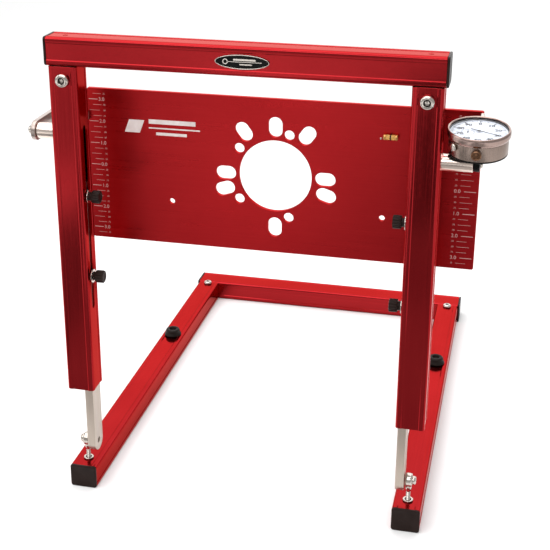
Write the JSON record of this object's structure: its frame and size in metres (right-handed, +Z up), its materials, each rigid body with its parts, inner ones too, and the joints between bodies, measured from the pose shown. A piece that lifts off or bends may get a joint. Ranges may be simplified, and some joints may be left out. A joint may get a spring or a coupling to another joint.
{
  "type": "bump steer gauge stand",
  "caption": "Folding red tube stand on a U-shaped base, with height-adjusting legs, a dial indicator and a fixed contact reading a slotted hub plate.",
  "frame": {"origin": "on the floor, at the middle of the rear crossbar's underside", "axes": "+X to the dial indicator's side, +Y to the rear, +Z up"},
  "size_m": [0.507, 0.6063, 0.5359],
  "materials": {
    "red_anodised": "satin red anodised",
    "black_plastic": "moulded black",
    "black_rubber": "moulded black rubber",
    "bare_aluminium": "brushed, clear anodised",
    "bright_steel": "polished",
    "satin_chrome": "satin",
    "black_enamel": "gloss black",
    "white_face": "matt white with printed scale",
    "clear_glass": "clear",
    "amber_vial": "amber, liquid filled"
  },
  "bodies": {
    "base": {"rear_crossbar": "red_anodised", "base_rail_left": "red_anodised", "base_rail_right": "red_anodised", "rail_cap_left": "black_plastic", "rail_cap_right": "black_plastic", "rail_block_left": "bare_aluminium", "rail_block_right": "bare_aluminium", "rail_screw_left": "bright_steel", "rail_screw_right": "bright_steel", "rear_cap_left": "black_plastic", "rear_cap_right": "black_plastic", "bumper_left": "black_rubber", "bumper_right": "black_rubber", "pivot_insert_left": "bright_steel", "pivot_insert_right": "bright_steel", "rod_end_left": "bright_steel", "rod_end_right": "bright_steel", "pivot_bolt_left": "bright_steel", "pivot_bolt_right": "bright_steel"},
    "plate": {"hub_plate": "red_anodised", "level_vial": "amber_vial"},
    "legs": {"leg_left": "bare_aluminium", "leg_right": "bare_aluminium"},
    "knob_left_upper": {"thumb_knob_left_upper": "black_plastic", "knob_washer_left_upper": "bright_steel"},
    "knob_left_lower": {"thumb_knob_left_lower": "black_plastic", "knob_washer_left_lower": "bright_steel"},
    "knob_right_upper": {"thumb_knob_right_upper": "black_plastic", "knob_washer_right_upper": "bright_steel"},
    "knob_right_lower": {"thumb_knob_right_lower": "black_plastic", "knob_washer_right_lower": "bright_steel"},
    "frame": {"top_crossbar": "red_anodised", "badge": "black_enamel", "upright_left": "red_anodised", "upright_right": "red_anodised", "corner_block_left": "bare_aluminium", "corner_block_right": "bare_aluminium", "frame_screw_left": "bright_steel", "frame_screw_right": "bright_steel", "crossbar_screw_left": "red_anodised", "crossbar_screw_right": "red_anodised", "crossbar_cap_left": "black_plastic", "crossbar_cap_right": "black_plastic", "contact_rod": "bright_steel", "contact_bar": "bare_aluminium", "contact_foot": "bare_aluminium", "contact_screw": "bright_steel", "dial_rod": "bright_steel"},
    "dial": {"dial_back": "black_enamel", "dial_case": "satin_chrome", "dial_stem": "satin_chrome", "dust_cap": "bright_steel", "bezel_clamp": "bright_steel", "lug_screw": "bright_steel"},
    "bezel": {"dial_bezel": "satin_chrome", "dial_glass": "clear_glass", "dial_face": "white_face"},
    "pointer": {"pointer": "black_enamel"},
    "counter_hand": {"counter_hand": "black_enamel"},
    "spindle": {"spindle": "bright_steel"}
  },
  "joints": [
    {"name": "plate_travel", "type": "slide", "parent": "base", "child": "plate", "axis": [0, 0, 1], "range_m": [-0.0762, 0.0762]},
    {"name": "frame_fold", "type": "hinge", "parent": "base", "child": "legs", "pos_m": [0, -0.55347, 0.05461], "axis": [1, 0, 0], "range_deg": [0, 90]},
    {"name": "height_slide", "type": "slide", "parent": "legs", "child": "frame", "axis": [0, 0, 1], "range_m": [-0.058, 0.034]},
    {"name": "knob_left_upper_turn", "type": "hinge", "parent": "legs", "child": "knob_left_upper", "pos_m": [-0.17297, -0.55347, 0.35941], "axis": [1, 0, 0], "continuous": true},
    {"name": "knob_left_lower_turn", "type": "hinge", "parent": "legs", "child": "knob_left_lower", "pos_m": [-0.17297, -0.55347, 0.26543], "axis": [1, 0, 0], "continuous": true},
    {"name": "knob_right_upper_turn", "type": "hinge", "parent": "legs", "child": "knob_right_upper", "pos_m": [0.17297, -0.55347, 0.35941], "axis": [1, 0, 0], "continuous": true},
    {"name": "knob_right_lower_turn", "type": "hinge", "parent": "legs", "child": "knob_right_lower", "pos_m": [0.17297, -0.55347, 0.26543], "axis": [1, 0, 0], "continuous": true},
    {"name": "dial_tilt", "type": "hinge", "parent": "frame", "child": "dial", "pos_m": [0.23927, -0.55347, 0.42697], "axis": [1, 0, 0], "range_deg": [0, 80]},
    {"name": "bezel_turn", "type": "hinge", "parent": "dial", "child": "bezel", "pos_m": [0.23927, -0.55095, 0.42731], "axis": [0, -0.1305, 0.9914], "continuous": true},
    {"name": "spindle_slide", "type": "slide", "parent": "dial", "child": "spindle", "axis": [0, -0.9914, -0.1305], "range_m": [0, 0.0254], "stiffness_N_per_m": 25, "springref_m": -0.02},
    {"name": "pointer_turn", "type": "hinge", "parent": "dial", "child": "pointer", "pos_m": [0.23927, -0.55547, 0.46168], "axis": [0, -0.1305, 0.9914], "range_deg": [-3660, 0]},
    {"name": "counter_turn", "type": "hinge", "parent": "dial", "child": "counter_hand", "pos_m": [0.2286, -0.55788, 0.46051], "axis": [0, -0.1305, 0.9914], "range_deg": [-366, 0]}
  ],
  "couplings": [
    {"joint": "pointer_turn", "follows": "spindle_slide", "rad_per_m": -2473.7},
    {"joint": "counter_turn", "follows": "spindle_slide", "rad_per_m": -247.37}
  ]
}
